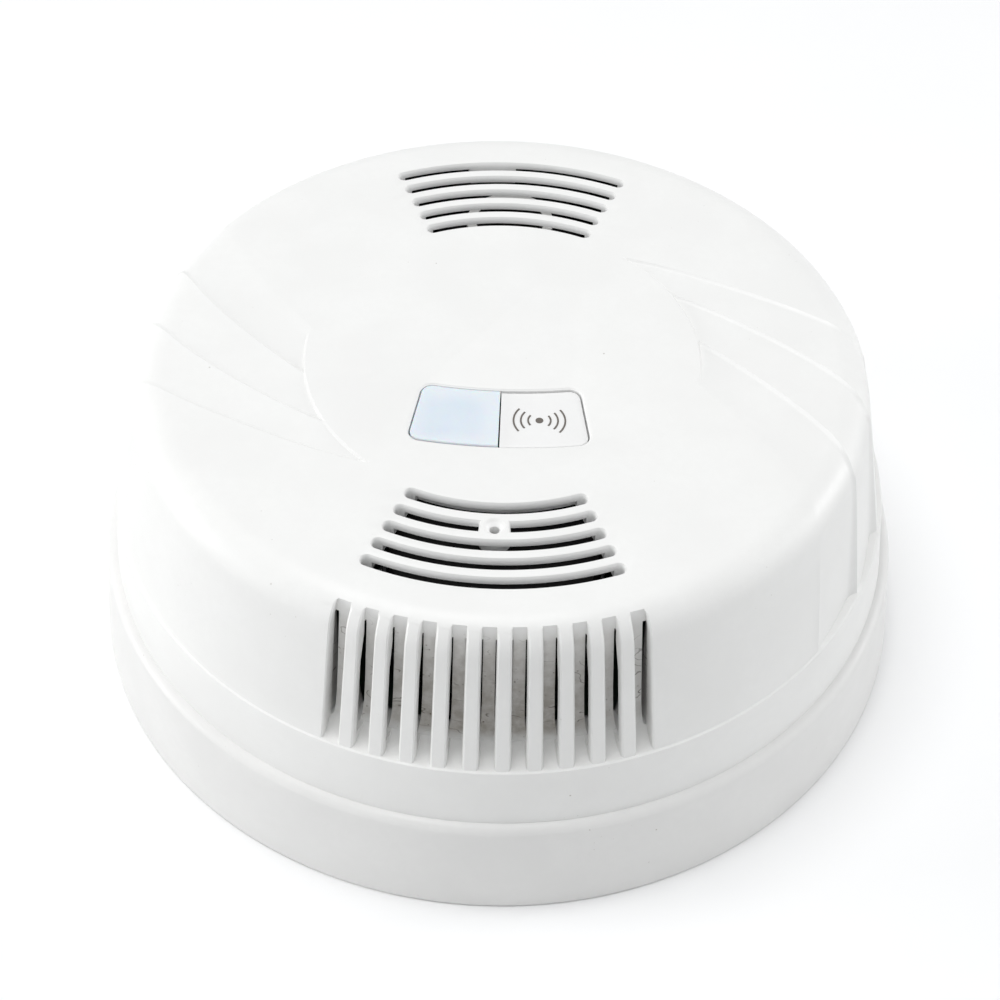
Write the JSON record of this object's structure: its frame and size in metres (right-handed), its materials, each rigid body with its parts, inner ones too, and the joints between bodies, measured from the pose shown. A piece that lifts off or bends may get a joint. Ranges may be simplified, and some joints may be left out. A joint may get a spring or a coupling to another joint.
{
  "type": "smoke detector",
  "caption": "Round battery smoke alarm: vented white head with test button and indicator lens, twisting onto a slightly larger mounting base.",
  "frame": {"origin": "centre of the mounting base's back face", "axes": "+Z out of the vented face along the turning axis; the air grille in the wall faces -Y; X across the keyholes"},
  "size_m": [0.108, 0.108, 0.0431],
  "materials": {
    "cover_white": "satin white moulding",
    "base_white": "satin, slightly cool white moulding",
    "button_white": "smooth white moulding",
    "lens_blue": "translucent pale blue moulding",
    "housing_white": "fine textured white moulding",
    "chamber_black": "matt black moulding",
    "board_green": "solder-masked laminate",
    "screw_steel": "zinc plated",
    "bare_brass": "rolled sheet",
    "ceramic": "fired ceramic",
    "screen_grey": "dark etched sheet",
    "infrared_emitter": "clear bluish resin",
    "photodiode": "dark resin",
    "lamp_red": "tinted resin",
    "chip_grey": "moulded package",
    "capacitor_sleeve": "shrunk sleeve",
    "ferrite": "pressed ferrite",
    "tinned_steel": "tinned sheet",
    "battery_wrap": "plain printed jacket",
    "lead_red": "wire insulation",
    "lead_black": "wire insulation"
  },
  "bodies": {
    "base": {"mounting_base": "base_white"},
    "head": {"front_cover": "cover_white", "indicator_lens": "lens_blue", "rear_housing": "housing_white", "battery_door": "housing_white", "battery": "battery_wrap", "battery_snap": "chamber_black", "lead_red": "lead_red", "lead_black": "lead_black", "circuit_board": "board_green", "microcontroller": "chip_grey", "capacitor": "capacitor_sleeve", "step_up_coil": "ferrite", "amplifier_shield": "tinned_steel", "chamber_base": "chamber_black", "chamber_cap": "chamber_black", "insect_screen": "screen_grey", "infrared_emitter": "infrared_emitter", "photodiode": "photodiode", "sounder_housing": "housing_white", "sounder_disc": "bare_brass", "sounder_ceramic": "ceramic", "switch_body": "chamber_black", "status_lamp": "lamp_red", "cover_screw_1": "screw_steel", "cover_screw_2": "screw_steel", "cover_screw_3": "screw_steel", "cover_screw_4": "screw_steel", "board_screw_1": "screw_steel", "board_screw_2": "screw_steel", "board_screw_3": "screw_steel", "board_screw_4": "screw_steel"},
    "button": {"test_button": "button_white"},
    "plunger": {"switch_plunger": "chamber_black"}
  },
  "joints": [
    {"name": "head_twist", "type": "hinge", "parent": "base", "child": "head", "pos_m": [0, 0, 0], "axis": [0, 0, 1], "range_deg": [0, 15]},
    {"name": "button_press", "type": "slide", "parent": "head", "child": "button", "axis": [0, 0, -1], "range_m": [0, 0.0006], "stiffness_N_per_m": 1500, "springref_m": -0.0008},
    {"name": "plunger_press", "type": "slide", "parent": "head", "child": "plunger", "axis": [0, 0, -1], "range_m": [0, 0.00025]}
  ],
  "couplings": [
    {"joint": "plunger_press", "follows": "button_press", "ratio": 0.4166}
  ]
}
